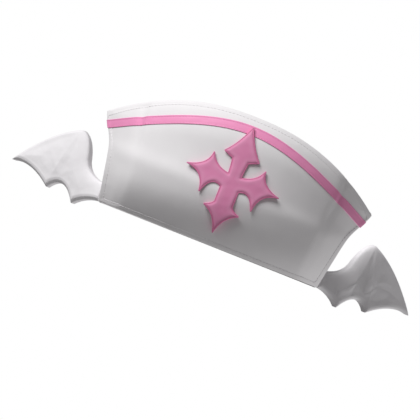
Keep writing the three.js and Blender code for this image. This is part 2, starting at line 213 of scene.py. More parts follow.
def evenly(line, spacing):
    """Points along a line of points, about one spacing apart."""
    steps = np.linalg.norm(np.diff(line, axis=0), axis=1)
    run = np.concatenate([[0], np.cumsum(steps)])
    count = max(2, round(run[-1] / spacing))
    marks = (np.arange(count) + 0.5) * run[-1] / count
    return np.stack([np.interp(marks, run, line[:, k]) for k in range(line.shape[1])], -1)


def stitch_rings(centre, along, up, spacing, thread):
    """Rings of points round each stitch, which dips into the cloth at both ends."""
    turns = full_turn(STITCH_SIDES)[:, None]
    around = np.cos(turns) * np.cross(along, up)[:, None] + np.sin(turns) * up[:, None]
    rings = []
    for side, row in [(-1, row) for row in HALF_STITCH[::-1]] + [(1, row) for row in HALF_STITCH]:
        run = along * side * row["along"] * spacing * STITCH_SHARE
        middle = centre + run + up * row["lift"] * thread / 2
        rings.append(middle[:, None] + row["width"] * thread / 2 * around)
    return np.stack(rings, 1)


def stitch_row(name, line, outward, spacing=3.0, thread=0.36):
    """A row of stitches along a line of points: short rounded threads lying on the cloth."""
    joined = evenly(np.hstack([line, outward]), spacing)
    centre, up = joined[:, :3], joined[:, 3:]
    up = up / np.linalg.norm(up, axis=1, keepdims=True)
    along = np.gradient(centre, axis=0)
    along -= up * (along * up).sum(1, keepdims=True)
    along /= np.linalg.norm(along, axis=1, keepdims=True)
    rings = stitch_rings(centre, along, up, spacing, thread)
    at = np.arange(rings[..., 0].size).reshape(rings.shape[:3])
    over = np.roll(at, -1, axis=2)
    tubes = np.stack([at[:, :-1], at[:, 1:], over[:, 1:], over[:, :-1]], -1).reshape(-1, 4)
    ends = np.stack([at[:, 0], at[:, -1, ::-1]], 1).reshape(-1, STITCH_SIDES)
    return make_piece(name, rings.reshape(-1, 3), tubes.tolist() + ends.tolist())


# %% Small forms in cloth
SEED_SHIFT = 17.3


def bell(distance, width):
    """A smooth bump: 1 at distance 0, and nearly gone at twice the width."""
    return np.exp(-((distance / width) ** 2))


def fade_in(distance, reach):
    """A straight rise from 0 at distance 0 to 1 at the reach, and 1 beyond it."""
    return np.clip(distance / reach, 0, 1)


def lumps(points, size, seed=0):
    """A smooth random value from -1 to 1 at each point, with lumps of about that size."""
    shifted = points / size + seed * SEED_SHIFT
    values = [noise.noise(Vector(point)) for point in shifted.reshape(-1, 3)]
    return np.array(values).reshape(shifted.shape[:-1])


def unevenness(points, rows):
    """Lumps of several sizes together, each with its own height."""
    return sum(row["height"] * lumps(points, row["size"], row["seed"]) for row in rows)


# %% What a panel is cut from, and what a piece wears
def cut_size(grid):
    """Width, length and area in metres of the flat cloth that a grid of points was made from."""
    wide = np.linalg.norm(np.diff(grid, axis=0), axis=-1).sum(0).max()
    long = np.linalg.norm(np.diff(grid, axis=1), axis=-1).sum(1).max()
    one = np.cross(grid[1:, :-1] - grid[:-1, :-1], grid[:-1, 1:] - grid[:-1, :-1])
    two = np.cross(grid[:-1, 1:] - grid[1:, 1:], grid[1:, :-1] - grid[1:, 1:])
    area = (np.linalg.norm(one, axis=-1).sum() + np.linalg.norm(two, axis=-1).sum()) / 2
    return float(wide * MM), float(long * MM), float(area * MM**2)


def wear(piece, material, node_names):
    """Gives a piece its material, its place on the cap and the parts that it stands for."""
    piece.data.materials.clear()
    piece.data.materials.append(material)
    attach(piece, "root")
    for node_name in node_names:
        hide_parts(node_name)
    print(piece.name, len(piece.data.polygons), "faces")
    return piece


# %% [markdown]
# ## Cloths
#
# Each cloth is one shader. Its weave is a height pattern at the real thread spacing. That is
# finer than a pixel of the photograph, so from there it only softens the light. A slow noise
# shifts the colour a little as real dyeing and handling do, a fine one stands for the fuzz on
# the threads, and a faint sheen for the loose fibres at grazing angles. A photographed cloth
# could be laid on the pieces as well, but it brings its own light and blurs close by.


# %% Colours, and one tool for shader nodes
def linear(hex_colour):
    """The linear colour of an sRGB hex code, with alpha 1."""
    codes = [int(hex_colour[i : i + 2], 16) / 255 for i in (1, 3, 5)]
    return [c / 12.92 if c <= 0.04045 else ((c + 0.055) / 1.055) ** 2.4 for c in codes] + [1.0]


def add(tree, kind, settings, inputs):
    """Adds a node with its settings, and links or sets its inputs."""
    made = tree.nodes.new(kind)
    for name, value in settings.items():
        setattr(made, name, value)
    for key, value in inputs.items():
        if isinstance(value, bpy.types.NodeSocket):
            tree.links.new(value, made.inputs[key])
        else:
            made.inputs[key].default_value = value
    return made


# %% How a cloth is shaded
WAVE_PERIOD = 2 * math.pi / 20
PATCH_SIZE = 26.3
FUZZ_SIZE = 0.714
BUMP_STRENGTH = 0.55
WEAVE_SHARE = 0.5
ROUGHNESS_SHIFT = 0.06
SHEEN_ROUGHNESS = 0.4
CLOTH_SPECULAR = 0.35


def threads(tree, place, spacing, turn):
    """Ribs across the cloth, one to each thread spacing in millimetres, turned by degrees."""
    rotation = (0, 0, math.radians(turn))
    turned = add(tree, "ShaderNodeMapping", {}, {"Vector": place, "Rotation": rotation})
    return add(
        tree,
        "ShaderNodeTexWave",
        {"wave_type": "BANDS", "bands_direction": "X", "wave_profile": "SIN"},
        {"Vector": turned.outputs["Vector"], "Scale": WAVE_PERIOD / (spacing * MM), "Distortion": 0.0},
    ).outputs["Fac"]


def tinted(tree, colour, zones):
    """A colour multiplied by tints that change with the distance in from the outline."""
    inwards = add(tree, "ShaderNodeAttribute", {"attribute_name": "inwards"}, {})
    deepest = zones[-1][0]
    share = add(tree, "ShaderNodeMath", {"operation": "DIVIDE"}, {0: inwards.outputs["Fac"], 1: deepest})
    ramp = add(tree, "ShaderNodeValToRGB", {}, {"Fac": share.outputs[0]})
    stops = ramp.color_ramp.elements
    stops[0].position, stops[1].position = 0.0, 1.0
    stops[0].color, stops[1].color = linear(zones[0][1]), linear(zones[-1][1])
    for distance, tint in zones[1:-1]:
        stops.new(distance / deepest).color = linear(tint)
    mixed = add(
        tree,
        "ShaderNodeMix",
        {"data_type": "RGBA", "blend_type": "MULTIPLY"},
        {0: 1.0, 6: colour, 7: ramp.outputs["Color"]},
    )
    return mixed.outputs[2]


def cloth(name, colours, thread, ribs, depth, roughness, sheen, mapped=True, zones=()):
    """A woven cloth: two colours in slow patches, ribs at the thread spacing, and fine fuzz.

    The weave follows the cloth map or, for a padded piece, its place in space. Zones are pairs of
    a distance in from the outline and the colour that tints the cloth there.
    """
    material = bpy.data.materials.new(name)
    material.use_nodes = True
    tree = material.node_tree
    tree.nodes.clear()
    spots = add(tree, "ShaderNodeTexCoord", {}, {})
    where = spots.outputs["UV" if mapped else "Object"]
    slow = {"Vector": spots.outputs["Object"], "Scale": 1 / (PATCH_SIZE * MM), "Detail": 4.0}
    patches = add(tree, "ShaderNodeTexNoise", {}, slow).outputs["Fac"]
    light, dark = map(linear, colours)
    mixed = add(tree, "ShaderNodeMix", {"data_type": "RGBA"}, {"Factor": patches, 6: light, 7: dark})
    colour = mixed.outputs[2]
    first, second = (threads(tree, where, thread, turn) for turn in ribs)
    woven = add(tree, "ShaderNodeMath", {"operation": "ADD"}, {0: first, 1: second}).outputs[0]
    fine = {"Vector": spots.outputs["Object"], "Scale": 1 / (FUZZ_SIZE * MM), "Detail": 3.0}
    fuzz = add(tree, "ShaderNodeTexNoise", {}, fine).outputs["Fac"]
    height = add(
        tree, "ShaderNodeMath", {"operation": "MULTIPLY_ADD"}, {0: woven, 1: WEAVE_SHARE, 2: fuzz}
    ).outputs[0]
    bump_inputs = {"Strength": BUMP_STRENGTH, "Distance": depth * MM, "Height": height}
    shift = {"To Min": roughness - ROUGHNESS_SHIFT, "To Max": roughness + ROUGHNESS_SHIFT}
    shader_inputs = {
        "Base Color": tinted(tree, colour, zones) if zones else colour,
        "Roughness": add(tree, "ShaderNodeMapRange", {}, {"Value": patches, **shift}).outputs[0],
        "Sheen Weight": sheen,
        "Sheen Roughness": SHEEN_ROUGHNESS,
        "Specular IOR Level": CLOTH_SPECULAR,
        "Normal": add(tree, "ShaderNodeBump", {}, bump_inputs).outputs[0],
    }
    shader = add(tree, "ShaderNodeBsdfPrincipled", {}, shader_inputs)
    add(tree, "ShaderNodeOutputMaterial", {}, {"Surface": shader.outputs[0]})
    return material


# %% The five cloths
# Cotton twill is a firm weave with slanting ribs. It looks matt and even.
cotton_twill = cloth(
    "white cotton twill",
    ("#F5F3F4", "#EDEAEC"),
    thread=0.6,
    ribs=(45, -20),
    depth=0.08,
    roughness=0.82,
    sheen=0.12,
)
# Cotton lawn is a thin plain weave, a little whiter than the twill and the mattest of the cloths.
crown_cotton = cloth(
    "white cotton lawn",
    ("#FAF8F9", "#F1EEF0"),
    thread=0.5,
    ribs=(0, 90),
    depth=0.07,
    roughness=0.85,
    sheen=0.1,
)
# The long threads of a satin ribbon lie side by side, which gives it a soft shine.
satin_ribbon = cloth(
    "pink satin ribbon",
    ("#FCA1CE", "#F696C5"),
    thread=0.5,
    ribs=(0, 0),
    depth=0.03,
    roughness=0.42,
    sheen=0.15,
)
# Tints by the distance in from the outline paint light on the satin. There is painted shade at the
# corded edge, which also tones down the cord's lit side, and a paler band of painted sheen on the
# padding's shoulders just inside it. It turns a little darker again towards the middle.
SATIN_PAINTED_SHADE_AND_SHEEN = [(0, "#F0D8E4"), (0.7, "#F5E2EC"), (1.5, "#FDFFFF"), (3.2, "#FDFFFF"), (5.5, "#FBF3F9")]
padded_satin = cloth(
    "pink padded satin",
    ("#F39FC6", "#EC95BE"),
    thread=0.5,
    ribs=(45, 45),
    depth=0.03,
    roughness=0.5,
    sheen=0.15,
    mapped=False,
    zones=SATIN_PAINTED_SHADE_AND_SHEEN,
)
# Fleece-backed cloth has a smooth face on a soft back, so it bends in round, soft folds.
wing_cloth = cloth(
    "white fleece-backed cloth",
    ("#F2F0F2", "#EAE7EA"),
    thread=0.5,
    ribs=(0, 90),
    depth=0.05,
    roughness=0.7,
    sheen=0.2,
    mapped=False,
)
print("cloths:", [m.name for m in bpy.data.materials])

# %% [markdown]
# ## The cuff
#
# The cuff is two layers of twill with a stiffener between them. Its edges are turned in and
# topstitched, which leaves a thicker rim, a thin groove under the thread and small puckers
# between the stitches. The stiffener is creased near each end, and bulges a little at the waist.
# A sheet with a Solidify modifier could give the thickness, but the two faces fold differently
# here. So the front and the back are each a grid on the cuff's height field, closed into one
# panel by a round edge. The grid is close near the edges, where the hem is, and wide in the flat
# middle.

# %% Sizes of the hem, the creases and the lumps
HEM_WIDTH = 4.6
HEM_RISE = 0.16
HEM_SOFTNESS = 0.35
TOP_EDGE_SLOPE = 0.45
SEAM_INSET = 0.6
SEAM_DEPTH = 0.18
SEAM_WIDTH = 0.8
STITCH_LIFT = 0.05
PUCKER_DEPTH = 0.12
PUCKER_SIZE = 4.5
PUCKER_REACH = 4.0
CREASE_DEPTH = 1.2
CREASE_WIDTH = 2.8
CREASE_OUTSET = 1
CREASE_LEAN = 0.03
CREASE_LEAN_ABOVE = 0.15
CREASE_SHARE_BELOW = 0.45
CREASE_FADE = 5
TOP_ROLL = 1.5
TOP_ROLL_BAND = 11
WAIST_RIDGE = 0.8
WAIST_RIDGE_HEIGHT = 45
WAIST_RIDGE_WIDTH = 7
CUFF_LUMPS = [{"height": 0.3, "size": 42, "seed": 1}, {"height": 0.12, "size": 15, "seed": 2}]
CUFF_LUMPS_FADE = 12
BACK_SHARE = 0.3


def cuff_creases(x, z):
    """Depth of the crease near each end: it leans outwards above the waist and is faint below."""
    above_waist = z - WAIST_HEIGHT
    lean = np.maximum(CREASE_LEAN * above_waist, CREASE_LEAN_ABOVE * above_waist)
    crease_line = FOLD_HALF_WIDTH + CREASE_OUTSET + lean
    firm = CREASE_SHARE_BELOW + (1 - CREASE_SHARE_BELOW) / (1 + np.exp(-above_waist / WAIST_SOFTNESS))
    return CREASE_DEPTH * firm * bell(np.abs(x) - crease_line, CREASE_WIDTH)


def cuff_relief(x, z):
    """Height of the cloth above the plain face: hem, groove, puckers, creases and soft lumps."""
    to_end = cuff_half_width(np.minimum(z, CORNER_HEIGHT)) - np.abs(x)
    slope = TOP_EDGE_SLOPE * fade_in(np.abs(x), CORNER_HALF_WIDTH)
    to_top = (cuff_top(x) - z) * np.cos(slope)
    edge = np.minimum(np.minimum(to_end, to_top), z)
    hem = HEM_RISE / (1 + np.exp((edge - HEM_WIDTH) / HEM_SOFTNESS))
    groove = SEAM_DEPTH * bell(edge - HEM_WIDTH + SEAM_INSET, SEAM_WIDTH)
    spots = np.stack([x, np.zeros_like(x), z], -1)
    pucker = PUCKER_DEPTH * lumps(spots, PUCKER_SIZE) * bell(edge - HEM_WIDTH, PUCKER_REACH)
    crease = cuff_creases(x, z) * fade_in(edge, CREASE_FADE)
    roll = TOP_ROLL * np.clip(1 - to_top / TOP_ROLL_BAND, 0, 1) ** 2
    ridge = WAIST_RIDGE * bell(z - WAIST_RIDGE_HEIGHT, WAIST_RIDGE_WIDTH)
    inner = (unevenness(spots, CUFF_LUMPS) + ridge) * fade_in(edge, CUFF_LUMPS_FADE)
    return hem - groove - roll + pucker - crease + inner


def back_relief(relief):
    """The inner face follows the folds of the front, and only a part of what rises above it."""
    return -CUFF_THICKNESS + np.minimum(relief, 0) - BACK_SHARE * np.maximum(relief, 0)


# %% The cuff
EDGE_BAND = 7
FINE_GRID = 0.7
COARSE_GRID = 2.4


def spread(length):
    """Distances from 0 to a length, close together near both ends."""
    edge = np.arange(0, EDGE_BAND, FINE_GRID)
    wide_steps = max(2, round((length - 2 * EDGE_BAND) / COARSE_GRID))
    middle = np.linspace(EDGE_BAND, length - EDGE_BAND, wide_steps)
    return np.concatenate([edge, middle, length - edge[::-1]])


def cuff_inset(across, z_share, inset):
    """The place on the cuff for a share across and a share up, kept inside its edge."""
    wide = across * CORNER_HALF_WIDTH
    z = inset + z_share * (cuff_top(wide) - 2 * inset)
    end = z_share * CORNER_HEIGHT
    return across * (cuff_half_width(end) - inset), z


def make_cuff():
    """The panel, a little smaller than its outline, because its round edge stands out."""
    across = spread(2 * WAIST_HALF_WIDTH) / WAIST_HALF_WIDTH - 1
    up = spread(FRONT_HEIGHT) / FRONT_HEIGHT
    grid_across, grid_up = np.meshgrid(across, up, indexing="ij")
    x, z = cuff_inset(grid_across, grid_up, CUFF_THICKNESS / 2)
    relief = cuff_relief(x, z)
    front = on_cuff(x, z, relief)
    back = on_cuff(x, z, back_relief(relief))
    around = FRONT_RADIUS * np.arcsin(np.clip(x / FRONT_RADIUS, -1, 1))
    return closed_shell("cuff_cloth", front, back, np.stack([around, z], -1)), cut_size(on_cuff(x, z))


cuff, (cuff_wide, cuff_long, cuff_area) = make_cuff()
wear(cuff, cotton_twill, ["cuff"])


# %% The cuff's two rows of stitches
def cuff_edge_line(inset):
    """A closed line on the cuff that runs beside its edge, at a distance from it."""
    sweep, rise = np.linspace(-1, 1, 200), np.linspace(0, 1, 80)
    across = np.concatenate([sweep, np.ones_like(rise), sweep[::-1], -np.ones_like(rise)])
    up = np.concatenate([np.zeros_like(sweep), rise, np.ones_like(sweep), rise[::-1]])
    x, z = cuff_inset(across, up, inset)
    return np.stack([x, z], -1)


seam_x, seam_z = evenly(cuff_edge_line(HEM_WIDTH - SEAM_INSET), 1.0).T
seam_relief = cuff_relief(seam_x, seam_z)
seam_outward = cuff_outward(seam_x, seam_z)
for row_name, height, outward in (
    ("cuff_topstitch", seam_relief + STITCH_LIFT, seam_outward),
    ("cuff_backstitch", back_relief(seam_relief) - STITCH_LIFT, -seam_outward),
):
    stitches = stitch_row(row_name, on_cuff(seam_x, seam_z, height), outward)
    wear(stitches, cotton_twill, [])

# %% [markdown]
# ## The crown
#
# The crown is the soft bag that the head goes into. It is cut wider than the rim and gathered
# into it, so small pleats run up from the rim at the back and die out towards the top. In front
# it lies flat against the cuff. A cloth simulation could gather it, but a formula keeps each
# pleat in its place and the front exactly on the cuff. It is one closed shell with a hem, open at
# the rim.

# %% The crown's smooth shape
CROWN_THICKNESS = 1.6
CROWN_HEIGHT = 84
CROWN_BACK_REACH = 76
CROWN_BOXINESS = 3.2
CROWN_BACK_SLOPE = 0.16
CROWN_SEAT_SHARE = 0.15
CROWN_SEAT_ONSET = 8
CROWN_SEAM_HEIGHT = 2.0
RING_CROWDING = 1.5


def crown_seat(x, z=0):
    """Where the crown meets the cuff's inner face."""
    return on_cuff(x, z, -CUFF_THICKNESS - SEWING_GAP)


def crown_plan(turn):
    """The crown's outline in plan: two half ellipses that meet at the ends of the cuff."""
    end, front = crown_seat(RIM_HALF_WIDTH), crown_seat(0.0)
    reach = np.where(np.sin(turn) < 0, end[1] - front[1], CROWN_BACK_REACH - end[1])
    return np.stack([end[0] * np.cos(turn), end[1] + reach * np.sin(turn)], -1)


def crown_surface(count, rings):
    """The crown's smooth outer face as rings of points from the rim to near the peak."""
    turn = full_turn(count)
    plan = crown_plan(turn)
    before = np.clip(-CROWN_SEAT_ONSET * np.sin(turn), 0, 1)
    seat = crown_seat(RIM_HALF_WIDTH * np.cos(turn), CROWN_SEAM_HEIGHT * before)
    rim = np.where((turn <= math.pi)[:, None], plan, seat[:, :2])
    middle = crown_plan(full_turn(48))[:, 1].mean()
    share = ((np.arange(rings) / rings) ** RING_CROWDING)[:, None]
    inward = np.cos(share * math.pi / 2) ** (2 / CROWN_BOXINESS)
    rise = np.sin(share * math.pi / 2) ** (2 / CROWN_BOXINESS)
    seated = 1 - fade_in(share, CROWN_SEAT_SHARE)
    outline = plan + (rim - plan) * seated[..., None]
    x = outline[..., 0] * inward
    y = middle + (outline[..., 1] - middle) * inward
    z = CROWN_HEIGHT * rise * (1 - CROWN_BACK_SLOPE * (y - middle) / CROWN_BACK_REACH)
    z = z + seat[:, 2] * before * seated
    return np.stack([x, y, z], -1), np.array([0, middle, CROWN_HEIGHT])


def surface_normals(rings, peak):
    """The way straight out of the crown at each point, level along the rim."""
    around = np.roll(rings, -1, axis=1) - np.roll(rings, 1, axis=1)
    above = np.concatenate([rings[1:], np.broadcast_to(peak, rings[:1].shape)])
    below = np.concatenate([rings[:1], rings[:-1]])
    outward = np.cross(around, above - below)
    outward[0, :, 2] = 0
    return outward / np.linalg.norm(outward, axis=-1, keepdims=True)


# %% The crown's pleats, hem and dents
CROWN_HEM = 9
CROWN_PLEATS = 34
PLEAT_SEED = 7
PLEAT_SPACINGS = (0.6, 1.4)
PLEAT_SIDE_ONSET = 2.2
PLEAT_SIDE_CURVE = 0.7
PLEAT_WANDER = 0.25
PLEAT_WANDER_LENGTH = 9
PLEAT_DEPTH = 2.1
PLEAT_SHARPNESS = 1.5
PLEAT_REACH = 24
PLEAT_REACH_WAVES = [{"rise": 9, "count": 3, "turned": 1}, {"rise": 7, "count": 11, "turned": 0}]
PLEAT_ONSET = 4
PLEAT_TOP = 66
PLEAT_TOP_FADE = 30
CROWN_SEAM_DEPTH = 0.45
CROWN_PUCKER_DEPTH = 0.25
SLACK_DEPTH = 2.4
SLACK_SIZE = 30
SLACK_ONSET = 25
DENT_DEPTH = 0.5
DENT_SIZE = 13
DENT_STRETCH = (1, 1, 0.6)


def crown_relief(rings):
    """Pleats above the hem at the back, the hem with its groove, and soft dents."""
    turn = full_turn(rings.shape[1])
    behind = np.clip(np.sin(turn) * PLEAT_SIDE_ONSET, 0, 1) ** PLEAT_SIDE_CURVE
    rng = np.random.default_rng(PLEAT_SEED)
    knots = np.cumsum(rng.uniform(*PLEAT_SPACINGS, CROWN_PLEATS + 1))
    shares = (knots - knots[0]) / (knots[-1] - knots[0])
    phase = np.interp(turn / (2 * math.pi), shares, np.arange(CROWN_PLEATS + 1)) * 2 * math.pi
    height = rings[..., 2]
    above_hem = height - CROWN_HEM
    waves = (wave["rise"] * np.sin(wave["count"] * turn + wave["turned"]) for wave in PLEAT_REACH_WAVES)
    reach = sum(waves, PLEAT_REACH)
    valley = 0.5 - 0.5 * np.cos(phase + PLEAT_WANDER * np.sin(height / PLEAT_WANDER_LENGTH))
    fade = np.exp(-np.maximum(above_hem, 0) / reach) * fade_in(PLEAT_TOP - height, PLEAT_TOP_FADE)
    pleats = -PLEAT_DEPTH * valley**PLEAT_SHARPNESS * behind * fade * fade_in(above_hem, PLEAT_ONSET)
    groove = -CROWN_SEAM_DEPTH * bell(above_hem, SEAM_WIDTH) * behind
    pucker = CROWN_PUCKER_DEPTH * np.sin(phase) * behind * bell(above_hem, PUCKER_REACH)
    slack = SLACK_DEPTH * (0.5 + 0.5 * lumps(rings, SLACK_SIZE, seed=4))
    slack = slack + DENT_DEPTH * lumps(rings * DENT_STRETCH, DENT_SIZE, seed=5)
    return pleats + groove + pucker - slack * fade_in(height, SLACK_ONSET)


# %% The crown
PEAK_DENT = 0.6
CLOTH_RADIUS = 85
CLOTH_SLANT = 0.3
CROWN_STITCH_LIFT = 0.1


def crown_cloth_map(smooth):
    """The weave's place: round the back of the head, and up."""
    turn = full_turn(smooth.shape[1])
    run = np.broadcast_to(np.abs(turn - math.pi) * CLOTH_RADIUS, smooth.shape[:2])
    return np.stack([run, smooth[..., 2] + smooth[..., 1] * CLOTH_SLANT], -1).reshape(-1, 2)


def make_crown(count=420, rings=80):
    """The crown's two faces with a hem between them, and the area of its cloth."""
    smooth, peak = crown_surface(count, rings)
    outward = surface_normals(smooth, peak)
    outside = smooth + outward * crown_relief(smooth)[..., None]
    inside = outside - outward * CROWN_THICKNESS
    peaks = [peak - [0, 0, PEAK_DENT], peak - [0, 0, PEAK_DENT + CROWN_THICKNESS]]
    points = np.vstack([outside.reshape(-1, 3), inside.reshape(-1, 3), *peaks])
    at = np.arange(rings * count).reshape(rings, count)
    beside = np.roll(at, -1, axis=1)
    outer = np.stack([at[:-1], beside[:-1], beside[1:], at[1:]], -1).reshape(-1, 4)
    inner = (outer + rings * count)[:, ::-1]
    hem = np.stack([beside[0], at[0], at[0] + rings * count, beside[0] + rings * count], -1)
    faces = np.vstack([outer, inner, hem]).tolist()
    top = 2 * rings * count
    faces += [[a, b, top] for a, b in zip(at[-1], beside[-1])]
    faces += [[b + rings * count, a + rings * count, top + 1] for a, b in zip(at[-1], beside[-1])]
    cloth_map = crown_cloth_map(smooth)
    uv = np.vstack([cloth_map, cloth_map, [[0, CROWN_HEIGHT]] * 2])
    closed = np.concatenate([outside, outside[:, :1]], axis=1).transpose(1, 0, 2)
    return make_piece("crown_cloth", points, faces, uv), outside, outward, cut_size(closed)[2]


def line_at(surface, outward, height):
    """The line round the back of the crown at a height, with the way out of the cloth there."""
    back = range(4, surface.shape[1] // 2 - 3)
    joined = np.concatenate([surface, outward], axis=-1)
    line = [[np.interp(height, joined[:, k, 2], joined[:, k, axis]) for axis in range(6)] for k in back]
    return np.hsplit(np.array(line), 2)


crown, crown_outside, crown_outward, crown_area = make_crown()
wear(crown, crown_cotton, ["crown"])
hem_line, hem_way = line_at(crown_outside, crown_outward, CROWN_HEM)
crown_stitches = stitch_row("crown_hem_stitches", hem_line + CROWN_STITCH_LIFT * hem_way, hem_way)
wear(crown_stitches, crown_cotton, [])

# %% [markdown]
# ## The ribbon stripe
#
# A satin ribbon follows the cuff's arched top and is sewn down along both of its edges. A woven
# ribbon has a firm selvedge, so its edges are a little thicker than its middle. A curve with a
# flat bevel could be drawn along the cuff, but it would twist in the folds. So the ribbon is a
# closed shell that lies just above the cuff's cloth and goes down into its folds with it.

# %% The ribbon's place on the cuff
STRIPE_WIDTH = 7.6
STRIPE_THICKNESS = 0.42
STRIPE_EDGE = 0.3
STRIPE_DROP_AT_FRONT = 12.6
STRIPE_DROP_AT_CORNER = 10.7
STRIPE_ROUNDNESS = 0.61
STRIPE_BED = 0.12


def stripe_height(x):
    """Height of the ribbon's middle line at a place across the cuff."""
    end_height = CORNER_HEIGHT - STRIPE_DROP_AT_CORNER
    share = x / cuff_half_width(end_height)
    bend = np.sqrt(share**2 + STRIPE_ROUNDNESS**2) - STRIPE_ROUNDNESS
    full = math.sqrt(1 + STRIPE_ROUNDNESS**2) - STRIPE_ROUNDNESS
    return end_height + (FRONT_HEIGHT - STRIPE_DROP_AT_FRONT - end_height) * (1 - bend / full)


def stripe_place(across, beside):
    """Places on the ribbon for shares across the cuff and millimetres up from its middle."""
    x = across * cuff_half_width(CORNER_HEIGHT)
    # The width at a height and the height at a width settle together in a few rounds.
    for _ in range(12):
        x = across * cuff_half_width(stripe_height(x) + beside)
    return x, stripe_height(x) + beside


def ribbon_bed(x, z):
    """Height of the ribbon's underside, just above the cuff's cloth and its folds."""
    return STRIPE_BED + cuff_relief(x, z)


# %% The ribbon and its stitches
STRIPE_HALF = STRIPE_WIDTH / 2 - STRIPE_EDGE
STRIPE_COLUMNS = np.array([0.25, 0.5, 0.76, 0.86, 0.94, 1])
STRIPE_END = 0.997
STITCH_END = 0.985
STRIPE_SEAM = 0.76
STRIPE_SEAM_DEPTH = 0.08
STRIPE_SEAM_WIDTH = 0.35
SELVEDGE = 0.95
RIBBON_LUMPS = [{"height": 0.1, "size": 9, "seed": 6}, {"height": 0.06, "size": 3.5, "seed": 7}]
RIBBON_THREAD = 0.22
RIBBON_STITCH = 2.6
RIBBON_STITCH_SINK = 0.05


def make_stripe():
    """The ribbon: a raised selvedge along each edge, a groove under each seam, and ripples."""
    across = np.linspace(-STRIPE_END, STRIPE_END, 240)
    beside = STRIPE_HALF * np.concatenate([-STRIPE_COLUMNS[::-1], [0], STRIPE_COLUMNS])
    grid_across, grid_beside = np.meshgrid(across, beside, indexing="ij")
    x, z = stripe_place(grid_across, grid_beside)
    to_side = np.abs(grid_beside)
    selvedge = STRIPE_SEAM_DEPTH * bell(to_side - STRIPE_HALF * SELVEDGE, STRIPE_SEAM_WIDTH)
    groove = STRIPE_SEAM_DEPTH * bell(to_side - STRIPE_HALF * STRIPE_SEAM, STRIPE_SEAM_WIDTH)
    ripple = unevenness(np.stack([x, np.zeros_like(x), z], -1), RIBBON_LUMPS)
    bed = ribbon_bed(x, z)
    front = on_cuff(x, z, bed + STRIPE_THICKNESS + selvedge - groove + ripple)
    run = np.stack([grid_across * CORNER_HALF_WIDTH, grid_beside], -1)
    return closed_shell("stripe_ribbon", front, on_cuff(x, z, bed), run, edge_steps=4)


wear(make_stripe(), satin_ribbon, ["stripe"])
for label, side in (("lower", -1), ("upper", 1)):
    x, z = stripe_place(np.linspace(-STITCH_END, STITCH_END, 300), side * STRIPE_HALF * STRIPE_SEAM)
    line = on_cuff(x, z, ribbon_bed(x, z) + STRIPE_THICKNESS - RIBBON_STITCH_SINK)
    outward = cuff_outward(x, z)
    stitches = stitch_row(f"stripe_stitches_{label}", line, outward, RIBBON_STITCH, RIBBON_THREAD)
    wear(stitches, satin_ribbon, [])

# %% [markdown]
# ## What the cloths were cut from
#
# Cloth hardly stretches, so the cuff's flat size is printed. The cuff is cut as wide as its arc
# is long, and its ends are folded back. The crown is a round blank with a little more cloth than
# its dome, and the gathers at the rim take that up. The ribbon and the seams go with the cuff.

# %% Flat sizes
print("cuff cut (m):", round(cuff_wide, 4), round(cuff_long, 4), "area", round(cuff_area, 5))

# %% [markdown]
# ## Padded shapes
#
# The cross and the wings are both padded plates: an outline cut twice from cloth, sewn along
# its edge and filled. A plate starts as its thick outline and is meshed again into even squares.
# The depth of each point then follows from how near the outline it lies. The wings are soft, so
# the cloth solver blows them up as well, which gives them the tension of real stuffing. The
# cross is too stiff for that to show.


# %% Outlines
def spot(row):
    """A row's point as shares across and up."""
    return np.array([row["across"], row["up"]], float)


def bend_curve(start, pull, end, count):
    """Points after the start on a curve to the end that is pulled towards a third point."""
    share = np.linspace(0, 1, count + 1)[1:, None]
    return (1 - share) ** 2 * start + 2 * share * (1 - share) * pull + share**2 * end


def outline_of(first, rows, size, count=14):
    """An outline in millimetres: to each row's point, straight or pulled towards a third point."""
    points = [np.array(first, float)]
    for row in rows:
        if "pull" in row:
            points.extend(bend_curve(points[-1], np.array(row["pull"], float), spot(row), count))
        else:
            points.append(spot(row))
    return np.array(points) * size


def distance_to(lines, points):
    """Distance from each point to the nearest of some straight lines in a plane."""
    nearest = np.full(len(points), np.inf)
    for start, end in lines:
        along = end - start
        share = np.clip(((points - start) @ along) / (along @ along), 0, 1)
        nearest = np.minimum(nearest, np.linalg.norm(points - start - share[:, None] * along, axis=1))
    return nearest


def lines_of(run):
    """The straight lines between the points of an open run."""
    return list(zip(run, run[1:]))


def border_of(outline):
    """The straight lines between the points of a closed outline."""
    return list(zip(outline, np.roll(outline, -1, axis=0)))


# %% Plates of even squares
def apply_modifiers(piece):
    """Puts a piece's modifiers into its mesh."""
    settled = piece.evaluated_get(bpy.context.evaluated_depsgraph_get())
    mesh = bpy.data.meshes.new_from_object(settled)
    piece.modifiers.clear()
    piece.data = mesh
    mesh.shade_smooth()


def padded_plate(name, outline, half_thickness, voxel):
    """A closed plate of even squares with this outline, its middle plane at depth 0."""
    count = len(outline)
    points = np.vstack([np.insert(outline, 1, y, axis=1) for y in (-half_thickness, half_thickness)])
    sides = [[k, (k + 1) % count, (k + 1) % count + count, k + count] for k in range(count)]
    faces = [list(range(count)), list(range(2 * count - 1, count - 1, -1)), *sides]
    plate = make_piece(name, points, faces)
    remesh = plate.modifiers.new("even squares", "REMESH")
    remesh.mode = "VOXEL"
    remesh.voxel_size = voxel * MM
    apply_modifiers(plate)
    smooth = plate.modifiers.new("round", "SMOOTH")
    smooth.factor, smooth.iterations = 0.5, 1
    apply_modifiers(plate)
    return plate


def subdivide(piece):
    """Splits each face in four and rounds the mesh."""
    finer = piece.modifiers.new("finer", "SUBSURF")
    finer.levels = finer.render_levels = 1
    apply_modifiers(piece)


def read_points(piece):
    """A piece's points in millimetres."""
    flat = np.empty(len(piece.data.vertices) * 3)
    piece.data.vertices.foreach_get("co", flat)
    return flat.reshape(-1, 3) / MM


def write_points(piece, points):
    """Moves a piece's points to places in millimetres."""
    piece.data.vertices.foreach_set("co", (points * MM).ravel())
    piece.data.update()


def mark_inwards(piece, distances):
    """Notes at each point how far it lies from the outline, in millimetres, for its material."""
    note = piece.data.attributes.new("inwards", "FLOAT", "POINT")
    note.data.foreach_set("value", np.asarray(distances, float))


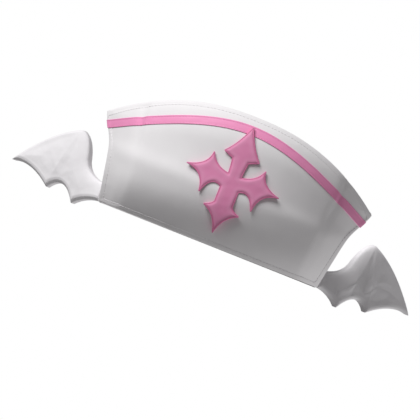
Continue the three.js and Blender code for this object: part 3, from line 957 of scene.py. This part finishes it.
# %% Stuffing
STUFFING_FRAMES = 20


def stuff(piece, held, pressure, most):
    """Blows a padded piece up with the cloth solver, and caps how far each point may move."""
    before = read_points(piece)
    group = piece.vertex_groups.new(name="seam")
    for index, weight in enumerate(held):
        if weight > 0:
            group.add([index], float(weight), "REPLACE")
    cushion = piece.modifiers.new("stuffing", "CLOTH")
    settings = cushion.settings
    settings.quality = 5
    settings.mass = 0.2
    settings.tension_stiffness = settings.compression_stiffness = 20
    settings.bending_stiffness = 0.6
    settings.use_pressure = True
    settings.uniform_pressure_force = pressure
    settings.vertex_group_mass = "seam"
    settings.effector_weights.gravity = 0
    scene = bpy.context.scene
    for number in range(1, STUFFING_FRAMES + 1):
        scene.frame_set(number)
    apply_modifiers(piece)
    scene.frame_set(1)
    moved = read_points(piece) - before
    far = np.linalg.norm(moved, axis=1, keepdims=True)
    write_points(piece, before + moved * np.minimum(1, most / np.maximum(far, 1e-9)))
    print(piece.name, "moved by the stuffing: mean", far.mean().round(3), "most", far.max().round(3))


# %% [markdown]
# ## The cross
#
# A traditional pointed cross with barbed ends, cut from satin over felt and padding. It is
# stiff, so it bends less than the cuff and touches it in the middle. A Bevel modifier could round
# it, but on narrow points it folds over itself, and a swell by the distance from the outline
# doesn't. A corded edge, wound with close satin stitches, closes it all round.

# %% The cross's size and outline
CROSS_WIDTH = 78.9
CROSS_HEIGHT = 90.4
CROSS_MIDDLE_HEIGHT = 56.2
CROSS_EDGE_THICKNESS = 1.1
CROSS_BEND = 0.6
CROSS_OUTLINE = [
    {"across": 0.375, "up": 0.439, "pull": (0.132, 0.673)},
    {"across": 0.172, "up": 0.368},
    {"across": 0.138, "up": 0.08, "pull": (0.142, 0.221)},
    {"across": 0.56, "up": 0.35, "pull": (0.462, 0.122)},
    {"across": 1, "up": -0.009, "pull": (0.58, 0.071)},
    {"across": 0.564, "up": -0.407, "pull": (0.598, -0.035)},
    {"across": 0.193, "up": -0.177, "pull": (0.434, -0.055)},
    {"across": 0.189, "up": -0.46},
    {"across": 0.381, "up": -0.575, "pull": (0.223, -0.531)},
    {"across": 0, "up": -1, "pull": (0.073, -0.681)},
]


def cross_edge_depth(x, z):
    """Where the front edge of the cross lies: it bends with a share of the cuff's curve."""
    middle = cuff_depth(0.0, CROSS_MIDDLE_HEIGHT)
    return middle - SEWING_GAP - CROSS_EDGE_THICKNESS + CROSS_BEND * (cuff_depth(x, z) - middle)


def cross_outline():
    """The whole outline: the right half and its mirror image."""
    right = outline_of((0, 1), CROSS_OUTLINE, (CROSS_WIDTH / 2, CROSS_HEIGHT / 2))
    left = right[1:-1] * (-1, 1)
    return np.vstack([left, right[::-1]])


# %% The padded cross
CROSS_PADDING = 0.7
CROSS_PADDING_REACH = 2.8
CROSS_GRID = 0.55
QUILT_LUMPS = [{"height": 0.12, "size": 5, "seed": 9}]


def make_cross():
    """The cross: its back lies on the cuff, and its front swells from the edge inwards."""
    outline = cross_outline()
    half = CROSS_EDGE_THICKNESS / 2
    cross = padded_plate("cross_pad", outline, half, CROSS_GRID)
    points = read_points(cross)
    inwards = distance_to(border_of(outline), points[:, [0, 2]])
    swell = CROSS_PADDING * (1 - (1 - fade_in(inwards, CROSS_PADDING_REACH)) ** 2)
    front = fade_in(half - points[:, 1], 2 * half)
    x, z = points[:, 0], points[:, 2] + CROSS_MIDDLE_HEIGHT
    quilt = unevenness(np.column_stack([x, 0 * x, z]), QUILT_LUMPS)
    back_y = cuff_depth(x, z) - SEWING_GAP
    y = back_y + front * (cross_edge_depth(x, z) - swell - quilt - back_y)
    write_points(cross, np.column_stack([x, y, z]))
    subdivide(cross)
    points = read_points(cross)
    flat = np.column_stack([points[:, 0], points[:, 2] - CROSS_MIDDLE_HEIGHT])
    # The distance from the outline picks the satin's painted shade at the edge and its painted sheen
    # further in.
    mark_inwards(cross, distance_to(border_of(outline), flat))
    return cross


cross = wear(make_cross(), padded_satin, ["cross"])

# %% The corded edge
CORD_HALF_WIDTH = 0.5
CORD_HALF_HEIGHT = 0.42
CORD_SINK = 0.25
CORD_WINDING = 0.45
CORD_RIDGE = 0.1
CORD_SIDES = 10


def make_cross_edge():
    """The corded edge: a thin tube along the outline, wound with thread."""
    line = evenly(np.vstack([cross_outline(), cross_outline()[:1]]), CORD_WINDING)
    count = len(line)
    x, z = line[:, 0], line[:, 1] + CROSS_MIDDLE_HEIGHT
    centre = np.column_stack([x, cross_edge_depth(x, z) + CORD_SINK, z])
    along = np.roll(centre, -1, axis=0) - np.roll(centre, 1, axis=0)
    along /= np.linalg.norm(along, axis=1, keepdims=True)
    forward = np.array([0, -1.0, 0])
    outward = forward - along * (along @ forward)[:, None]
    outward /= np.linalg.norm(outward, axis=1, keepdims=True)
    beside = np.cross(along, outward)[:, None]
    turns = full_turn(CORD_SIDES)[None, :, None]
    ring = CORD_HALF_WIDTH * np.cos(turns) * beside + CORD_HALF_HEIGHT * np.sin(turns) * outward[:, None]
    ridge = 1 + CORD_RIDGE * (np.arange(count) % 2)
    points = (centre[:, None] + ring * ridge[:, None, None]).reshape(-1, 3)
    at = np.arange(count * CORD_SIDES).reshape(count, CORD_SIDES)
    ahead, over = np.roll(at, -1, axis=0), np.roll(at, -1, axis=1)
    faces = np.stack([at, over, np.roll(ahead, -1, axis=1), ahead], -1).reshape(-1, 4)
    cord = make_piece("cross_corded_edge", points, faces.tolist())
    # The cord takes the tint at the outline: painted shade that darkens it and tones down its highlight.
    mark_inwards(cord, np.zeros(len(points)))
    return cord


wear(make_cross_edge(), padded_satin, [])

# %% [markdown]
# ## The wings
#
# Each wing is a small stuffed cushion: a front and a back of fleece-backed cloth with a narrow
# strip of the same cloth between them. Two stuffed fingers fan out from its wrist to its low
# points, and a zigzag crest crosses them, where the filling is pushed up. Each wing is stuffed by
# hand, so the crest is firm on the right one and faint on the left one. They could be sculpted,
# but a thickness that is a function of the distance from the edges is easy to change and fits
# any outline. The cloth solver then rounds it. The wings are sewn to the crown behind the ends of
# the cuff and sweep back.

# %% The wing's outline
WING_SPAN = 90.2
WING_HEIGHT = 58.8
WING_SIZE = np.array([WING_SPAN, WING_HEIGHT])
WING_ROOT_START = -0.03
WING_ROOT_TOP = 0.425
WING_ROOT_LOW = 0.166
WING_WRIST = {"across": 0.4, "up": 1, "pull": (0.29, 0.96)}
WING_OUTER_POINT = {"across": 0.552, "up": 0.083, "pull": (0.806, 0.36)}
WING_INNER_POINT = {"across": 0.239, "up": 0, "pull": (0.402, 0.37)}
WING_ROOT_SIDE = [
    {"across": 0, "up": WING_ROOT_TOP},
    {"across": 0.228, "up": 0.635, "pull": (0.18, 0.46)},
    WING_WRIST,
]
WING_TOP = [{"across": 1.018, "up": 0.259, "pull": (0.71, 0.84)}]
WING_LOW_SIDE = [
    WING_OUTER_POINT,
    WING_INNER_POINT,
    {"across": 0, "up": WING_ROOT_LOW, "pull": (0.14, 0.14)},
    {"across": WING_ROOT_START, "up": WING_ROOT_LOW},
]


def wing_edges():
    """The wing's edge in three runs: up its root side, along its top, and back along its low side."""
    runs, start = [], np.array([WING_ROOT_START, WING_ROOT_TOP])
    for rows in (WING_ROOT_SIDE, WING_TOP, WING_LOW_SIDE):
        runs.append(outline_of(start, rows, WING_SIZE, count=18))
        start = runs[-1][-1] / WING_SIZE
    return runs


def wing_outline():
    """The three runs as one outline."""
    root_side, top, low = wing_edges()
    return np.vstack([root_side, top[1:], low[1:]])


print("wing outline from", wing_outline().min(0).round(1), "to", wing_outline().max(0).round(1))

# %% The wing's thickness
WING_HALF_THICKNESS = 7
WING_DOME = 1.4
WING_DOME_REACH = 14
WING_FLAT = WING_HALF_THICKNESS - WING_DOME
WING_ROOT_FORM = {"strip": 1.8, "width": 13, "straight": 0.1}
WING_LOW_FORM = {"strip": 2.3, "width": 3.4, "straight": 0.6}
WING_TOP_FORM = {"strip": 2.3, "width": 1.8, "straight": 0.6}
WING_BLEND = 0.28
WING_LEAST = 0.5
FINGER_RIDGE = 0.9
FINGER_WIDTH = 7
CREST_WIDTH = 5.5
CREST_SOFTNESS = 0.9
RIDGE_FOOT = 0.35
RIDGES_START = 2
RIDGES_FADE = 7
WING_CRESTS = [
    {"across": 0.18, "up": 0.05},
    {"across": 0.19, "up": 0.24},
    {"across": 0.31, "up": 0.44},
    {"across": 0.44, "up": 0.3},
    {"across": 0.5, "up": 0.16},
    {"across": 0.45, "up": 0.3},
    {"across": 0.54, "up": 0.48},
    {"across": 0.7, "up": 0.47},
    {"across": 0.85, "up": 0.39},
    {"across": 0.96, "up": 0.29},
]


def bevelled(distance, strip, width, straight):
    """Half the thickness in from an edge: from the strip up, round or by a share straight."""
    share = fade_in(distance, width)
    rise = (1 - straight) * np.sqrt(1 - (1 - share) ** 2) + straight * share
    return strip + (WING_FLAT - strip) * rise


def ridge_along(distance, rise, width):
    """A ridge of filling beside a line, with a shallow hollow further away."""
    return rise * (np.exp(-distance / width) - RIDGE_FOOT)


def wing_relief(points, crest_rise):
    """Half the wing's thickness at each point: a narrow strip all round, from which the cloth
    rises slowly on the root side and quickly elsewhere, a faint dome, fingers and crests."""
    from_root_side, from_top, from_low = (distance_to(lines_of(run), points) for run in wing_edges())
    forms = [
        bevelled(from_root_side, **WING_ROOT_FORM),
        bevelled(from_low, **WING_LOW_FORM),
        bevelled(from_top, **WING_TOP_FORM),
    ]
    plump = -WING_BLEND * np.log(sum(np.exp(-form / WING_BLEND) for form in forms))
    dome = WING_DOME * (1 - bell(np.minimum(from_top, from_low), WING_DOME_REACH))
    wrist = spot(WING_WRIST) * WING_SIZE
    fingers = [(wrist, spot(end) * WING_SIZE) for end in (WING_INNER_POINT, WING_OUTER_POINT)]
    ridge = ridge_along(distance_to(fingers, points), FINGER_RIDGE, FINGER_WIDTH)
    crests = np.array([spot(row) for row in WING_CRESTS]) * WING_SIZE
    from_crest = np.hypot(distance_to(lines_of(crests), points), CREST_SOFTNESS)
    crest = ridge_along(from_crest, crest_rise, CREST_WIDTH)
    inner = (ridge + crest) * fade_in(from_low - RIDGES_START, RIDGES_FADE)
    return np.maximum(plump, WING_LEAST) + dome + inner


# %% The wings
CREST_RISES = {"wing_right": 2.1, "wing_left": 0.7}
WING_GRID = 0.9
WING_HELD = 1.3
WING_HELD_REACH = 5
WING_PRESSURE = 3
WING_STUFFED_MOST = 0.8
WING_SEAM_DEPTH = 0.15
WING_SEAM_INSET = 0.3
WING_SEAM_WIDTH = 0.5
WING_LUMPS = [{"height": 0.2, "size": 11, "seed": 11}, {"height": 0.06, "size": 4, "seed": 12}]
WING_LUMPS_FADE = 6
WING_SWEEP = math.radians(34)
WING_SET_BACK = 7.2
WING_DROP = 9.3


def make_wing(name, crest_rise):
    """A wing as the right one lies, in its own plane: along the span, depth and up."""
    outline = wing_outline()
    wing = padded_plate(name, outline, WING_HALF_THICKNESS, WING_GRID)
    points = read_points(wing)
    flat = points[:, [0, 2]]
    points[:, 1] *= wing_relief(flat, crest_rise) / WING_HALF_THICKNESS
    write_points(wing, points)
    inwards = distance_to(border_of(outline), flat)
    held = np.clip(WING_HELD - inwards / WING_HELD_REACH, 0, 1)
    stuff(wing, held, WING_PRESSURE, WING_STUFFED_MOST)
    subdivide(wing)
    points = read_points(wing)
    from_low = distance_to(lines_of(wing_edges()[2]), points[:, [0, 2]])
    side = np.sign(points[:, 1]) * (np.abs(points[:, 1]) > WING_HALF_THICKNESS / 2)
    from_seam = from_low - WING_LOW_FORM["width"] + WING_SEAM_INSET
    seam = WING_SEAM_DEPTH * bell(from_seam, WING_SEAM_WIDTH)
    cloth_lumps = unevenness(points * (1, 0.3, 1), WING_LUMPS)
    points[:, 1] += side * (cloth_lumps * fade_in(from_low, WING_LUMPS_FADE) - seam)
    write_points(wing, points)
    return wing


def wing_frame():
    """The matrix from the wing's own plane to the cap."""
    along = Vector((math.cos(WING_SWEEP), math.sin(WING_SWEEP), 0))
    back = Vector((-math.sin(WING_SWEEP), math.cos(WING_SWEEP), 0))
    root_y = on_cuff(RIM_HALF_WIDTH, 0)[1] + WING_SET_BACK
    root = Vector((RIM_HALF_WIDTH, root_y, -WING_DROP)) * MM
    turned = Matrix((along, back, Vector((0, 0, 1)))).transposed().to_4x4()
    return Matrix.Translation(root) @ turned


for node_name, crest_rise in CREST_RISES.items():
    wing = make_wing(f"{node_name}_pad", crest_rise)
    wing.data.transform(wing_frame())
    if node_name == "wing_left":
        wing.data.transform(Matrix.Diagonal((-1, 1, 1, 1)))
        wing.data.flip_normals()
    wear(wing, wing_cloth, [node_name])

# %% [markdown]
# ## The studio
#
# The photograph is taken level with the cap, from straight in front and from far away, with the
# camera tipped so that the cap leans to the right. The main lamp stands up to the left. A weaker
# lamp from below and from the right stands for the light that a white floor throws back, and a very
# weak one from the front stands for a wall's. The room around is white. Area lamps could stand nearby,
# but distant suns with a wide angle light both wings as evenly as large soft boxes far away do.

# %% Camera
PHOTO_WIDTH = 420
CROSS_PIXEL = (233, 180)
MM_PER_PIXEL = 0.8
ROLL = math.radians(21.6)
CAMERA_DISTANCE = 12.0

to_centre = (PHOTO_WIDTH / 2 - CROSS_PIXEL[0], PHOTO_WIDTH / 2 - CROSS_PIXEL[1])
aim_x = (to_centre[0] * math.cos(ROLL) + to_centre[1] * math.sin(ROLL)) * MM_PER_PIXEL
aim_z = (to_centre[0] * math.sin(ROLL) - to_centre[1] * math.cos(ROLL)) * MM_PER_PIXEL
right = Vector((math.cos(ROLL), 0, math.sin(ROLL)))
upwards = Vector((-math.sin(ROLL), 0, math.cos(ROLL)))
camera_data = bpy.data.cameras.new("camera")
camera_data.lens = camera_data.sensor_width * CAMERA_DISTANCE / (PHOTO_WIDTH * MM_PER_PIXEL * MM)
camera_data.clip_end = 100
camera = bpy.data.objects.new("camera", camera_data)
place = Vector((aim_x * MM, -CAMERA_DISTANCE - FRONT_REACH * MM, (CROSS_MIDDLE_HEIGHT + aim_z) * MM))
turned = Matrix((right, upwards, right.cross(upwards))).transposed().to_4x4()
camera.matrix_world = Matrix.Translation(place) @ turned
bpy.context.scene.collection.objects.link(camera)
bpy.context.scene.camera = camera
print("camera at", [round(v, 3) for v in place], "lens", round(camera_data.lens))


# %% Lamps
def lamp(name, towards, strength, width):
    """A distant soft lamp that shines from a direction."""
    data = bpy.data.lights.new(name, "SUN")
    data.energy = strength
    data.angle = math.radians(width)
    made = bpy.data.objects.new(name, data)
    made.rotation_euler = Vector(towards).to_track_quat("Z", "Y").to_euler()
    bpy.context.scene.collection.objects.link(made)


LAMPS = {
    "key lamp": {"towards": (-0.60, -0.45, 0.66), "strength": 3.25, "width": 35},
    "floor bounce": {"towards": (0.62, 0.40, -0.67), "strength": 1.6, "width": 35},
    "wall bounce": {"towards": (0.55, -0.83, 0.05), "strength": 0.16, "width": 40},
}
for lamp_name, settings in LAMPS.items():
    lamp(lamp_name, **settings)
print("lamps:", list(LAMPS))

# %% The white room
ROOM_COLOUR = "#FFFDFE"
ROOM_STRENGTH = 0.135

room = bpy.data.worlds.new("white room")
bpy.context.scene.world = room
room.use_nodes = True
tree = room.node_tree
tree.nodes.clear()
ray = add(tree, "ShaderNodeLightPath", {}, {})
soft = add(tree, "ShaderNodeBackground", {}, {"Color": linear(ROOM_COLOUR), "Strength": ROOM_STRENGTH})
white = add(tree, "ShaderNodeBackground", {}, {"Color": linear("#FFFFFF"), "Strength": 1.0})
shares = {0: ray.outputs["Is Camera Ray"], 1: soft.outputs[0], 2: white.outputs[0]}
seen = add(tree, "ShaderNodeMixShader", {}, shares)
add(tree, "ShaderNodeOutputWorld", {}, {"Surface": seen.outputs[0]})
bpy.context.scene.view_settings.view_transform = "Standard"
